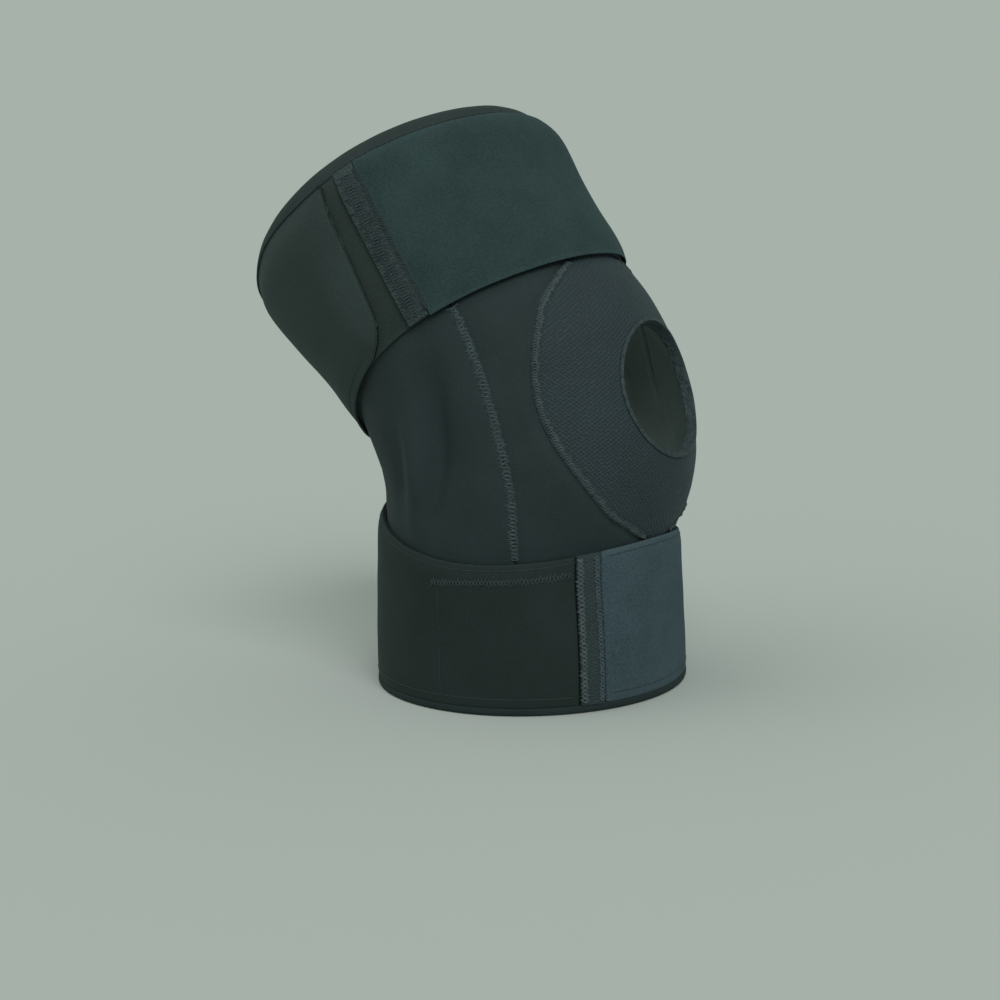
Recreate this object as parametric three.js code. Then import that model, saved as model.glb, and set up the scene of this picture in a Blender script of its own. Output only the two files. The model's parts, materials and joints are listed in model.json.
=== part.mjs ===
// Knee sleeve with an open kneecap, held by a wide wrap round the thigh and one round the calf.
// Millimetres. +Z runs up the calf, the kneecap looks towards -Y, and the sleeve stands on its
// calf edge with the middle of that opening at the origin. Angles go round the leg from the
// kneecap (0) over the wearer's right side (-X, 90) to the hollow of the knee (180).
import * as THREE from 'three';

// Line up the middle of the leg
const calfLength = 70;
const bendRadius = 88;
const bendAngle = 31;
const thighLength = 78.5;

// Mean radius of the sleeve's outer face on each stretch
const calfRadius = 56;
const kneeRadius = 60;
const thighRadius = 65;

// Cloth and the room left between pieces
const sleeveWall = 3.6;
const seamGap = 0.3;
const layerGap = 0.5;
const edgingGap = 0.6;
const calfWrapWall = 2.6;
const thighWrapWall = 1.4;
const loopWall = 1.3;
const borderWall = 1.0;
const flapWall = 2.0;
const tapeWall = 3.0;

// Kneecap side
const openingWidth = 50;
const openingHeight = 49;
const openingWall = 1.8;
const kneePatchWidth = 111.6;
const kneePatchHeight = 152;
const kneePatchRise = 2.2;
const frontStrip = 14;
const sideSeamBow = 6.5;
const sideSeamReach = 32;

// Edgings
const edgingWall = 0.9;
const kneeEdgingWall = 0.6;
const kneeEdgingWidth = 1.4;
const topEdgingWidth = 6;
const bottomEdgingHeight = 3;
const bottomEdgingBevel = 0.8;

// Wraps
const calfWrapHeight = 60;
const thighWrapHeight = 67.5;
const thighWrapDrop = 7.5;
const turnInDepth = 4.5;
const turnInLength = 18;
const tapeWidth = 9;
const borderWidth = 8.5;
const flapCornerRadius = 9;
const calfLoopEnd = 31;
const hiddenSeam = -100;

// Where the three upright edges on the near side of the thigh wrap stand, in degrees
const thighEdges = {
  loop: { low: 69, top: 64 },
  flap: { low: 86, top: 77 },
};

const radians = THREE.MathUtils.degToRad;
const blend = THREE.MathUtils.lerp;
const bendLength = bendRadius * radians(bendAngle);
const legLength = calfLength + bendLength + thighLength;
const thighStart = calfLength + bendLength;
const fullTurn = 2 * Math.PI;

const calf = { start: 0, length: calfLength, radius: calfRadius };
const knee = { start: calfLength, length: bendLength, radius: kneeRadius };
const thigh = { start: thighStart, length: thighLength, radius: thighRadius };

// Sections of the leg: a share along the stretch, then half depths and half width as shares of its radius
const sections = [
  { on: calf, at: 0, front: 1.015, back: 1.055, side: 0.965 },
  { on: calf, at: 0.39, front: 1.015, back: 1.025, side: 0.95 },
  { on: calf, at: 0.78, front: 1.025, back: 0.98, side: 0.945 },
  { on: knee, at: 0.25, front: 1.155, back: 0.855, side: 0.905 },
  { on: knee, at: 0.78, front: 1.18, back: 0.865, side: 0.915 },
  { on: thigh, at: 0.19, front: 1.005, back: 0.76, side: 0.85 },
  { on: thigh, at: 0.6, front: 0.963, back: 0.892, side: 0.912 },
  { on: thigh, at: 1, front: 0.99, back: 1.07, side: 1.0 },
];

// Soft upright folds beside the hollow of the knee: degrees round the leg, shares of the leg's
// length, degrees of spread and a depth as a share of the knee's radius
const folds = [
  { angle: 84, from: 0.27, to: 0.68, spread: 8, depth: 0.034 },
  { angle: 104, from: 0.3, to: 0.66, spread: 10, depth: -0.02 },
  { angle: 180, from: 0.36, to: 0.62, spread: 26, depth: 0.04 },
];

// How the cut edges run round the leg: shares of the size that they follow
const edgeForms = {
  rim: { size: thighRadius, tilt: 0.078, dip: -0.042 },
  thighWrapLow: { size: thighWrapHeight, tilt: 0.082, dip: -0.062 },
  calfWrapTop: { size: calfWrapHeight, tilt: -0.11, dip: 0.088 },
};

const stations = new Float64Array(sections.map(({ on, at }) => on.start + at * on.length));
const halfSizes = new Float64Array(sections.flatMap(
  ({ on, front, back, side }) => [front * on.radius, back * on.radius, side * on.radius],
));
const sectionCurve = new THREE.CubicInterpolant(stations, halfSizes, 3);

// Point of the leg's middle line and its lean towards the back
function lineAt(along) {
  if (along <= calfLength) {
    return { y: 0, z: along, lean: 0 };
  }
  const lean = Math.min(along - calfLength, bendLength) / bendRadius;
  const straight = Math.max(along - thighStart, 0);
  return {
    y: bendRadius * (1 - Math.cos(lean)) + straight * Math.sin(lean),
    z: calfLength + bendRadius * Math.sin(lean) + straight * Math.cos(lean),
    lean,
  };
}

function foldDepth(angle, along) {
  const turn = Math.abs(Math.atan2(Math.sin(angle), Math.cos(angle)));
  let depth = 0;
  for (const fold of folds) {
    const share = (along / legLength - fold.from) / (fold.to - fold.from);
    if (share > 0 && share < 1) {
      const across = (turn - radians(fold.angle)) / radians(fold.spread);
      depth += fold.depth * kneeRadius * Math.sin(Math.PI * share) ** 2 * Math.exp(-across * across);
    }
  }
  return depth;
}

// Point on the sleeve at an angle and a length up the leg, `proud` millimetres outside its outer face
function legPoint(angle, along, proud) {
  const { y, z, lean } = lineAt(along);
  const [front, back, side] = sectionCurve.evaluate(along);
  const turnIn = turnInDepth * Math.max(0, 1 - (legLength - along) / turnInLength) ** 2;
  const out = proud - turnIn - foldDepth(angle, along);
  const facing = Math.cos(angle);
  const depth = ((facing >= 0 ? front : back) + out) * facing;
  return new THREE.Vector3(
    -(side + out) * Math.sin(angle),
    y - depth * Math.cos(lean),
    z + depth * Math.sin(lean),
  );
}

const edgeShift = ({ size, tilt, dip }, angle) => size * (tilt * Math.cos(angle) + dip * Math.cos(2 * angle));
const rim = (angle) => legLength + edgeShift(edgeForms.rim, angle);
const thighWrapTop = (angle) => rim(angle) - thighWrapDrop;
const thighWrapLow = (angle) => legLength - thighWrapHeight + edgeShift(edgeForms.thighWrapLow, angle);
const calfWrapTop = (angle) => calfWrapHeight + edgeShift(edgeForms.calfWrapTop, angle);
const clothFoot = bottomEdgingHeight + seamGap;
const sleeveTop = (angle) => rim(angle) - edgingWall - seamGap;

// Closed body from a grid: corner(column, row, inside) gives the points of its two faces.
// Columns go round the leg and rows up it, and a ring joins its last column to its first.
function clothGeometry(columns, rows, ring, corner) {
  const columnCount = ring ? columns : columns + 1;
  const positions = [];
  for (let column = 0; column < columnCount; column++) {
    for (let row = 0; row <= rows; row++) {
      positions.push(...corner(column, row, false).toArray());
      positions.push(...corner(column, row, true).toArray());
    }
  }
  const at = (column, row, inside) => ((column % columnCount) * (rows + 1) + row) * 2 + (inside ? 1 : 0);
  const triangles = [];
  const quad = (a, b, c, d) => triangles.push(a, b, c, a, c, d);
  for (let column = 0; column < columns; column++) {
    const next = column + 1;
    for (let row = 0; row < rows; row++) {
      const up = row + 1;
      quad(at(column, row, false), at(column, up, false), at(next, up, false), at(next, row, false));
      quad(at(column, row, true), at(next, row, true), at(next, up, true), at(column, up, true));
    }
    quad(at(column, 0, false), at(next, 0, false), at(next, 0, true), at(column, 0, true));
    quad(at(column, rows, false), at(column, rows, true), at(next, rows, true), at(next, rows, false));
  }
  if (!ring) {
    for (let row = 0; row < rows; row++) {
      const up = row + 1;
      quad(at(0, row, false), at(0, row, true), at(0, up, true), at(0, up, false));
      quad(at(columns, row, false), at(columns, up, false), at(columns, up, true), at(columns, row, true));
    }
  }
  const geometry = new THREE.BufferGeometry();
  geometry.setAttribute('position', new THREE.Float32BufferAttribute(positions, 3));
  geometry.setIndex(triangles);
  geometry.computeVertexNormals();
  return geometry;
}

// Panel between two upright edges (start and end, each an angle for a share of the height)
// and two edges round the leg (low and top, each a length for an angle)
function panelGeometry({ columns, shares, start, end, low, top, inner, outer }) {
  return clothGeometry(columns, shares.length - 1, false, (column, row, inside) => {
    const share = shares[row];
    const angle = blend(start(share), end(share), column / columns);
    return legPoint(angle, blend(low(angle), top(angle), share), inside ? inner : outer);
  });
}

// Rounds on the kneecap side, set at the middle of the bend. A clock angle of 0 is their top.
const kneeMiddle = knee.start + knee.length / 2;
const kneeFront = sectionCurve.evaluate(kneeMiddle)[0];
const frontStretch = 1 + kneeFront / bendRadius;

function onRound(width, height, grow, clock, sideways) {
  return {
    angle: (width / 2 + grow) / kneeRadius * sideways,
    along: kneeMiddle + (height / 2 + grow) / frontStretch * Math.cos(clock),
  };
}

const openingEdge = (grow, clock) => onRound(openingWidth, openingHeight, grow, clock, Math.sin(clock));

// The patch is a pointed oval set a little above the opening, with its two points under the wraps
function patchEdge(grow, clock) {
  const sideways = Math.sin(clock) * Math.abs(Math.sin(clock));
  const { angle, along } = onRound(kneePatchWidth, kneePatchHeight, grow, clock, sideways);
  return { angle, along: along + kneePatchRise };
}

// The side seams bow away from the patch at the middle of the bend
function sideSeam(along) {
  const rise = (along - kneeMiddle) / sideSeamReach;
  const strip = frontStrip - sideSeamBow * (1 - Math.exp(-rise * rise));
  return (kneePatchWidth / 2 + strip) / kneeRadius;
}

const halfGap = seamGap / 2;
const kneeColumns = 80;

// Rows of the two sleeve panels: a share of the height, closer together towards both cut edges
const uprightRows = kneeColumns / 4;
const edgeCrowding = 1.4;

function upright(share, angle) {
  const rise = 2 * share - 1;
  const end = rise > 0 ? sleeveTop(angle) : clothFoot;
  return kneeMiddle + (end - kneeMiddle) * (1 - (1 - Math.abs(rise)) ** edgeCrowding);
}

// Outer border of the front panel for a clock angle: each of its four edges takes a quarter
const cornerClock = Math.PI / 4;

function panelBorder(clock) {
  const turned = Math.atan2(Math.sin(clock), Math.cos(clock));
  const far = Math.abs(turned);
  const sideways = Math.min(1, far / cornerClock, (Math.PI - far) / cornerClock);
  const share = THREE.MathUtils.clamp((Math.PI - cornerClock - far) / (Math.PI - 2 * cornerClock), 0, 1);
  const along = upright(share, sideSeam(kneeMiddle) * sideways);
  const angle = Math.sign(turned) * (sideSeam(along) - halfGap / kneeRadius) * sideways;
  return { angle, along };
}

const frontShares = [0, 0.08, 0.18, 0.32, 0.5, 0.68, 0.82, 0.92, 1];

function frontPanelGeometry() {
  return clothGeometry(kneeColumns, frontShares.length - 1, true, (column, row, inside) => {
    const clock = fullTurn * column / kneeColumns;
    const oval = patchEdge(halfGap, clock);
    const border = panelBorder(clock);
    const share = frontShares[row];
    const along = blend(oval.along, border.along, share);
    return legPoint(blend(oval.angle, border.angle, share), along, inside ? -sleeveWall : 0);
  });
}

function backPanelGeometry() {
  const columns = 26;
  const middle = sideSeam(kneeMiddle);
  return clothGeometry(columns, uprightRows, false, (column, row, inside) => {
    const along = upright(row / uprightRows, blend(middle, fullTurn - middle, column / columns));
    const start = sideSeam(along) + halfGap / kneeRadius;
    const angle = blend(start, fullTurn - start, column / columns);
    return legPoint(angle, along, inside ? -sleeveWall : 0);
  });
}

// The patch thins towards the opening
function kneePatchGeometry() {
  const rows = 4;
  return clothGeometry(kneeColumns, rows, true, (column, row, inside) => {
    const clock = fullTurn * column / kneeColumns;
    const hole = openingEdge(kneeEdgingWall + seamGap, clock);
    const seam = patchEdge(-halfGap, clock);
    const share = row / rows;
    const wall = blend(sleeveWall, openingWall, (1 - share) ** 2);
    const along = blend(hole.along, seam.along, share);
    return legPoint(blend(hole.angle, seam.angle, share), along, inside ? -wall : 0);
  });
}

const openingColumns = 36;

// Edging folded over the edge of the opening, with one leg on each face of the patch
function kneeEdgingGeometry() {
  const near = edgingGap;
  const far = edgingGap + kneeEdgingWall;
  const legs = [
    { grow: kneeEdgingWidth, grown: kneeEdgingWidth, proud: -openingWall - far, under: -openingWall - near },
    { grow: 0, grown: kneeEdgingWall, proud: -openingWall - far, under: -openingWall - near },
    { grow: 0, grown: kneeEdgingWall, proud: far, under: near },
    { grow: kneeEdgingWidth, grown: kneeEdgingWidth, proud: far, under: near },
  ];
  return clothGeometry(openingColumns, legs.length - 1, true, (column, row, inside) => {
    const clock = fullTurn * column / openingColumns;
    const leg = legs[row];
    const { angle, along } = openingEdge(inside ? leg.grown : leg.grow, clock);
    return legPoint(angle, along, inside ? leg.under : leg.proud);
  });
}

const bandColumns = 48;

// Edging folded over the rim of the thigh opening
function topEdgingGeometry() {
  const near = edgingGap;
  const far = edgingGap + edgingWall;
  const legs = [
    { drop: topEdgingWidth, dropped: topEdgingWidth, proud: far, under: near },
    { drop: 0, dropped: edgingWall, proud: far, under: near },
    { drop: 0, dropped: edgingWall, proud: -sleeveWall - far, under: -sleeveWall - near },
    { drop: topEdgingWidth, dropped: topEdgingWidth, proud: -sleeveWall - far, under: -sleeveWall - near },
  ];
  return clothGeometry(bandColumns, legs.length - 1, true, (column, row, inside) => {
    const angle = fullTurn * column / bandColumns;
    const leg = legs[row];
    const along = rim(angle) - (inside ? leg.dropped : leg.drop);
    return legPoint(angle, along, inside ? leg.under : leg.proud);
  });
}

// Flat-footed edging under the sleeve and the calf wrap
function bottomEdgingGeometry() {
  const outer = layerGap + calfWrapWall;
  const levels = [
    { along: 0, bevel: bottomEdgingBevel },
    { along: bottomEdgingBevel, bevel: 0 },
    { along: bottomEdgingHeight, bevel: 0 },
  ];
  return clothGeometry(bandColumns, levels.length - 1, true, (column, row, inside) => {
    const { along, bevel } = levels[row];
    const angle = fullTurn * column / bandColumns;
    return legPoint(angle, along, inside ? bevel - sleeveWall : outer - bevel);
  });
}

const tapeStart = radians(calfLoopEnd);
const tapeEnd = tapeStart + tapeWidth / calfRadius;
const backSeam = radians(hiddenSeam);

const calfShares = [0, 0.3, 0.58, 0.74, 0.87, 1];

function calfPanel(columns, start, end, wall) {
  const half = halfGap / calfRadius;
  return panelGeometry({
    columns,
    shares: calfShares,
    start: () => start + half,
    end: () => end - half,
    low: () => clothFoot,
    top: calfWrapTop,
    inner: layerGap,
    outer: layerGap + wall,
  });
}

// Rows of the thigh wrap's pieces, closer together where the rim turns in
const thighShares = [0, 0.08, 0.18, 0.3, 0.44, 0.6, 0.8, 0.9, 1];

const thighWrapFace = layerGap + thighWrapWall;
const edgeAngle = ({ low, top }) => (share) => radians(blend(low, top, share));
const loopEdge = edgeAngle(thighEdges.loop);
const flapEdge = edgeAngle(thighEdges.flap);
const borderEdge = (share) => loopEdge(share) + borderWidth / thighRadius;
const thighHalf = halfGap / thighRadius;

function thighWrapGeometry() {
  return clothGeometry(bandColumns, thighShares.length - 1, true, (column, row, inside) => {
    const angle = fullTurn * column / bandColumns;
    const along = blend(thighWrapLow(angle), thighWrapTop(angle), thighShares[row]);
    return legPoint(angle, along, inside ? layerGap : thighWrapFace);
  });
}

function thighPanel(columns, start, end, wall) {
  return panelGeometry({
    columns,
    shares: thighShares,
    start,
    end,
    low: (angle) => thighWrapLow(angle) + seamGap,
    top: (angle) => thighWrapTop(angle) - seamGap,
    inner: thighWrapFace + layerGap,
    outer: thighWrapFace + layerGap + wall,
  });
}

// Closing end of the thigh wrap, with its lower corner rounded off
function flapStart(share) {
  const height = share * (thighWrapTop(flapEdge(0)) - thighWrapLow(flapEdge(0)));
  const below = Math.max(0, flapCornerRadius - height);
  const cut = flapCornerRadius - Math.sqrt(flapCornerRadius ** 2 - below ** 2);
  return flapEdge(share) + cut / thighRadius;
}

function cloth(name, geometry, color, roughness) {
  const mesh = new THREE.Mesh(geometry, new THREE.MeshStandardMaterial({ color, roughness, metalness: 0 }));
  mesh.name = name;
  return mesh;
}

const knitColor = 0x303e41;
const loopColor = 0x2e4144;
const darkColor = 0x232f31;
const trimColor = 0x1c2628;

const group = new THREE.Group();
group.add(
  cloth('front_panel', frontPanelGeometry(), knitColor, 0.9),
  cloth('back_panel', backPanelGeometry(), knitColor, 0.9),
  cloth('knee_patch', kneePatchGeometry(), knitColor, 0.95),
  cloth('knee_edging', kneeEdgingGeometry(), trimColor, 0.85),
  cloth('top_edging', topEdgingGeometry(), trimColor, 0.85),
  cloth('bottom_edging', bottomEdgingGeometry(), trimColor, 0.85),
  cloth('calf_wrap', calfPanel(32, tapeEnd, fullTurn + backSeam, calfWrapWall), darkColor, 0.9),
  cloth('calf_seam_tape', calfPanel(2, tapeStart, tapeEnd, tapeWall), trimColor, 0.85),
  cloth('calf_loop_panel', calfPanel(18, backSeam, tapeStart, calfWrapWall), loopColor, 1),
  cloth('thigh_wrap', thighWrapGeometry(), darkColor, 0.9),
  cloth('thigh_loop_panel', thighPanel(
    24,
    () => backSeam + thighHalf,
    (share) => loopEdge(share) - thighHalf,
    loopWall,
  ), loopColor, 1),
  cloth('thigh_border', thighPanel(
    2,
    (share) => loopEdge(share) + thighHalf,
    borderEdge,
    borderWall,
  ), trimColor, 0.9),
  cloth('thigh_flap', thighPanel(
    26,
    flapStart,
    () => fullTurn + backSeam - thighHalf,
    flapWall,
  ), darkColor, 0.9),
);

export default group;
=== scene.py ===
import json
import math
import random

import bpy
import numpy as np
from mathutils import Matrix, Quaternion, Vector, noise
from mathutils.bvhtree import BVHTree

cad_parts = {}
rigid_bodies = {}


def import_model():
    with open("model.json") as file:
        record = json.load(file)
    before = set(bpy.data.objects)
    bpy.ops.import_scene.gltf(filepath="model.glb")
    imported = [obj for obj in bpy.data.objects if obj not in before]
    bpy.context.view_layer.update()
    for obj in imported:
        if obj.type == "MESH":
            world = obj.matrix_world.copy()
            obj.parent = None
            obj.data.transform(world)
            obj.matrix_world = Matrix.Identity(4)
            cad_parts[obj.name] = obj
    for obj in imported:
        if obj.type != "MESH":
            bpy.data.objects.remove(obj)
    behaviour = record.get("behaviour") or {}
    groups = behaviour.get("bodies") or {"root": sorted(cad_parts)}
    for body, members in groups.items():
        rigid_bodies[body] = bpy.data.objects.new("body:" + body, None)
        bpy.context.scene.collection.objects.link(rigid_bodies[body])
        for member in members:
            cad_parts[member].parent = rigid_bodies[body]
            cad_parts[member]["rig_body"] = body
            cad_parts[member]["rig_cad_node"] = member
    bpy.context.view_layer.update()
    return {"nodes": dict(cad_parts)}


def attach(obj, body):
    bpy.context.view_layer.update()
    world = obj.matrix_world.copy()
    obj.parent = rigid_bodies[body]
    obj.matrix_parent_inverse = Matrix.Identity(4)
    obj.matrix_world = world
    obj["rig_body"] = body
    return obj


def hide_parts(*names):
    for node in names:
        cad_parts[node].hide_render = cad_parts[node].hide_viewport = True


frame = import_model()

scene = bpy.context.scene
draws = random.Random(7)

# Camera at the photograph's place
cameraSetup = {
    "place": (-0.4578, -0.3215, 0.1510),
    "azimuth": -53.92,
    "elevation": 8.36,
    "roll": 2.57,
    "focalPixels": 1480,  # in a picture 1000 pixels wide
    "pictureWidth": 1000,
    "sensor": 36,
}


def addCamera(setup):
    azimuth, elevation = math.radians(setup["azimuth"]), math.radians(setup["elevation"])
    level = math.cos(elevation)
    back = Vector((math.sin(azimuth) * level, -math.cos(azimuth) * level, math.sin(elevation)))
    data = bpy.data.cameras.new("camera")
    data.sensor_width = setup["sensor"]
    data.lens = setup["focalPixels"] / setup["pictureWidth"] * setup["sensor"]
    data.clip_start, data.clip_end = 0.01, 60
    camera = bpy.data.objects.new("camera", data)
    scene.collection.objects.link(camera)
    camera.location = setup["place"]
    camera.rotation_mode = "QUATERNION"
    roll = Quaternion((0, 0, 1), -math.radians(setup["roll"]))
    camera.rotation_quaternion = (-back).to_track_quat("-Z", "Y") @ roll
    scene.camera = camera


addCamera(cameraSetup)
print("camera set")

# The leg inside the sleeve, in metres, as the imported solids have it
leg = {
    "calf": 0.070, "bendRadius": 0.088, "bendAngle": 31, "thigh": 0.0785,
    "rimTurnIn": 0.0045, "rimLength": 0.018,
}
flex = math.radians(leg["bendAngle"])
bendLength = leg["bendRadius"] * flex
thighStart = leg["calf"] + bendLength
legLength = thighStart + leg["thigh"]
kneeMiddle = leg["calf"] + bendLength / 2
stretches = {  # start, length and radius
    "calf": (0, leg["calf"], 0.056),
    "knee": (leg["calf"], bendLength, 0.060),
    "thigh": (thighStart, leg["thigh"], 0.065),
}
sections = [  # stretch and share of it, then front, back and side as shares of the stretch's radius
    ("calf", 0, 1.015, 1.055, 0.965),
    ("calf", 0.39, 1.015, 1.025, 0.95),
    ("calf", 0.78, 1.025, 0.98, 0.945),
    ("knee", 0.25, 1.155, 0.855, 0.905),
    ("knee", 0.78, 1.18, 0.865, 0.915),
    ("thigh", 0.19, 1.005, 0.76, 0.85),
    ("thigh", 0.6, 0.963, 0.892, 0.912),
    ("thigh", 1, 0.99, 1.07, 1.0),
]
stations = np.array([stretches[on][0] + share * stretches[on][1] for on, share, *_ in sections])
halfSizes = np.array([[value * stretches[on][2] for value in values] for on, _, *values in sections])
folds = [  # turn, from and to as shares of the leg, spread in degrees, depth, slant in degrees a metre
    (84, 0.27, 0.68, 8, 0.00204, 0),
    (104, 0.30, 0.66, 10, -0.0012, 0),
    (180, 0.36, 0.62, 26, 0.0024, 0),
]


# Front and back half depths and half width, on the curve that the solids follow
def sectionAt(along):
    t = np.clip(np.asarray(along, float), stations[0], stations[-1])
    last = len(stations) - 1
    upper = np.clip(np.searchsorted(stations, t, side="right"), 1, last)
    lower = upper - 1
    before = np.where(lower > 0, lower - 1, upper)
    after = np.where(upper < last, upper + 1, lower)
    gap = stations[upper] - stations[lower]
    p = (t - stations[lower]) / gap
    wB = gap / 2 / (stations[lower] - stations[before])
    wA = gap / 2 / (stations[after] - stations[upper])
    weights = (
        (before, -wB * p**3 + 2 * wB * p**2 - wB * p),
        (lower, (1 + wB) * p**3 + (-1.5 - 2 * wB) * p**2 + (wB - 0.5) * p + 1),
        (upper, (-1 - wA) * p**3 + (1.5 + wA) * p**2 + 0.5 * p),
        (after, wA * p**3 - wA * p**2),
    )
    return sum(weight[..., None] * halfSizes[index] for index, weight in weights)


# Depth of the folds beside the knee, which run up the leg
def foldDepth(turn, along, rows):
    depth = 0
    for angle, start, end, spreadOut, deep, slant in rows:
        share = (along / legLength - start) / (end - start)
        across = (np.abs(turn) - angle - slant * (along - kneeMiddle)) / spreadOut
        inside = (share > 0) & (share < 1)
        hollow = deep * np.sin(np.pi * share) ** 2 * np.exp(-across * across)
        depth = depth + np.where(inside, hollow, 0)
    return depth


def rimTurnIn(along):
    return leg["rimTurnIn"] * np.clip(1 - (legLength - along) / leg["rimLength"], 0, None) ** 2


# y, z and lean of the leg's middle line
def lineAt(along):
    if along <= leg["calf"]:
        return 0.0, along, 0.0
    lean = min(along - leg["calf"], bendLength) / leg["bendRadius"]
    straight = max(along - thighStart, 0)
    y = leg["bendRadius"] * (1 - math.cos(lean)) + straight * math.sin(lean)
    z = leg["calf"] + leg["bendRadius"] * math.sin(lean) + straight * math.cos(lean)
    return y, z, lean


def legPoint(turn, along, proud):
    y, z, lean = lineAt(along)
    front, back, side = sectionAt(along)
    angle = math.radians(turn)
    facing = math.cos(angle)
    depth = ((front if facing >= 0 else back) + proud) * facing
    x = -(side + proud) * math.sin(angle)
    return Vector((x, y - depth * math.cos(lean), z + depth * math.sin(lean)))


# turn, along, length of cloth up the leg and height over the sleeve, for an array of points
def legPlaces(points):
    x, y, z = points.T
    lean = np.clip(np.arctan2(z - leg["calf"], leg["bendRadius"] - y), 0, flex)
    lineY = leg["bendRadius"] * (1 - np.cos(lean))
    lineZ = leg["calf"] + leg["bendRadius"] * np.sin(lean)
    beyond = (y - lineY) * np.sin(lean) + (z - lineZ) * np.cos(lean)
    depth = (z - lineZ) * np.sin(lean) - (y - lineY) * np.cos(lean)
    along = leg["calf"] + leg["bendRadius"] * lean + np.where((lean <= 0) | (lean >= flex), beyond, 0)
    front, back, side = sectionAt(along).T
    across, deep = -x / side, depth / np.where(depth >= 0, front, back)
    angle = np.arctan2(across, deep)
    size = np.hypot(side * np.sin(angle), np.where(depth >= 0, front, back) * np.cos(angle))
    turn = np.degrees(angle)
    proud = (np.hypot(across, deep) - 1) * size + rimTurnIn(along) + foldDepth(turn, along, folds)
    return turn, along, along + lean * depth, proud


# Cut edges and seams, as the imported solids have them
wallThickness = 0.0018
edgeForms = {  # size, tilt and dip round the leg
    "rim": (0.065, 0.078, -0.042),
    "thighLow": (0.0675, 0.082, -0.062),
    "calfTop": (0.060, -0.11, 0.088),
}
kneeRadius, thighRadius = 0.060, 0.063
wrapEdges = {"underRim": 0.0075, "thighHeight": 0.0675, "calfHeight": 0.060}
patch = {
    "halfTurn": 53.29, "halfAlong": 0.04203, "rise": 0.0022, "slimming": 1.7,
    "strip": 0.014, "seamBow": 0.0065, "seamReach": 0.032,
}
opening = {"halfTurn": 23.87, "halfAlong": 0.01355, "radius": 0.025, "nearTurn": 60}
thighTurns = {"loop": (69, 64), "flap": (86, 77)}  # at the low edge and at the top
flapCorner = {"radius": 0.009, "flapHeight": 0.06}


def edgeShift(form, turn):
    size, tilt, dip = edgeForms[form]
    angle = np.radians(turn)
    return size * (tilt * np.cos(angle) + dip * np.cos(2 * angle))


def rimAt(turn):
    return legLength + edgeShift("rim", turn)


def thighTopAt(turn):
    return rimAt(turn) - wrapEdges["underRim"]


def thighLowAt(turn):
    return legLength - wrapEdges["thighHeight"] + edgeShift("thighLow", turn)


def calfTopAt(turn):
    return wrapEdges["calfHeight"] + edgeShift("calfTop", turn)


def thighShare(turn, along):
    return (along - thighLowAt(turn)) / (thighTopAt(turn) - thighLowAt(turn))


def thighTurnAt(edge, share):
    low, top = thighTurns[edge]
    return low + (top - low) * share


def sideSeamAt(along):
    fromMiddle = (along - kneeMiddle) / patch["seamReach"]
    strip = patch["strip"] - patch["seamBow"] * (1 - np.exp(-(fromMiddle**2)))
    return patch["halfTurn"] + np.degrees(strip / kneeRadius)


# Metres outside the knee patch's seam, negative on the patch
def besidePatch(turn, along):
    width = math.radians(patch["halfTurn"]) * kneeRadius
    rise = (along - kneeMiddle - patch["rise"]) / patch["halfAlong"]
    slope = 2 * width * np.abs(rise) / (patch["halfAlong"] * patch["slimming"])
    return (np.abs(turn) / patch["halfTurn"] + rise**2 - 1) * width / np.sqrt(1 + slope**2)


# Relief that all pieces share, so that the layers keep apart
relief = {
    "swell": 0.0007, "swellSize": 0.034, "dimple": 0.00016, "dimpleSize": 0.010,
    "sideGroove": 0.0006, "grooveWidth": 0.0020, "patchGroove": 0.0008, "patchGrooveOut": 0.0006,
    "thighSqueeze": 0.0009, "calfSqueeze": 0.0008, "squeezeUnder": 0.007, "squeezeBare": 0.0035,
    "squeezeBack": 0.8,
    "folds": [
        (87, 0.25, 0.69, 4.8, 0.0048, -315),
        (97, 0.27, 0.67, 5, -0.0026, -255),
        (108, 0.29, 0.66, 5, 0.0020, -255),
    ],
    "farFolds": 0.3,  # share of these folds on the wearer's left side
    "creaseWave": 0.003,
    "creases": [  # across the hollow of the knee: along, depth, width, reach in degrees
        (0.079, 0.0013, 0.0035, 20),
        (0.092, 0.0021, 0.0030, 26),
        (0.105, 0.0016, 0.0034, 23),
        (0.116, 0.0010, 0.0030, 18),
    ],
}


def reliefAt(points, turn, along):
    values = relief
    lift = np.array([
        values["swell"] * noise.noise(Vector(point) / values["swellSize"])
        + values["dimple"] * noise.noise(Vector(point) / values["dimpleSize"])
        for point in points
    ])
    for at, depth, width, reach in values["creases"]:
        wave = values["creaseWave"] * np.sin(np.radians(turn * 3))
        across = (along - at - wave) / width
        lift -= depth * np.exp(-(across**2) - ((180 - np.abs(turn)) / reach) ** 2)
    lift -= foldDepth(turn, along, values["folds"]) * np.where(turn > 0, 1, values["farFolds"])
    lessAtBack = 1 - values["squeezeBack"] * (1 - np.cos(np.radians(turn))) / 2
    for depth, into in (
        (values["thighSqueeze"], along - thighLowAt(turn)),
        (values["calfSqueeze"], calfTopAt(turn) - along),
    ):
        reach = np.where(into > 0, values["squeezeUnder"], values["squeezeBare"])
        lift -= depth * lessAtBack * np.exp(-((into / reach) ** 2))
    return lift


def seamGrooves(turn, along):
    toSide = np.radians(np.abs(turn) - sideSeamAt(along)) * kneeRadius
    toPatch = besidePatch(turn, along) - relief["patchGrooveOut"]
    return (
        -relief["sideGroove"] * np.exp(-((toSide / relief["grooveWidth"]) ** 2))
        - relief["patchGroove"] * np.exp(-((toPatch / relief["grooveWidth"]) ** 2))
    )


# Metres in from the free edges of each wrap layer
def insideThighBand(turn, along):
    return np.minimum(along - thighLowAt(turn), thighTopAt(turn) - along)


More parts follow.
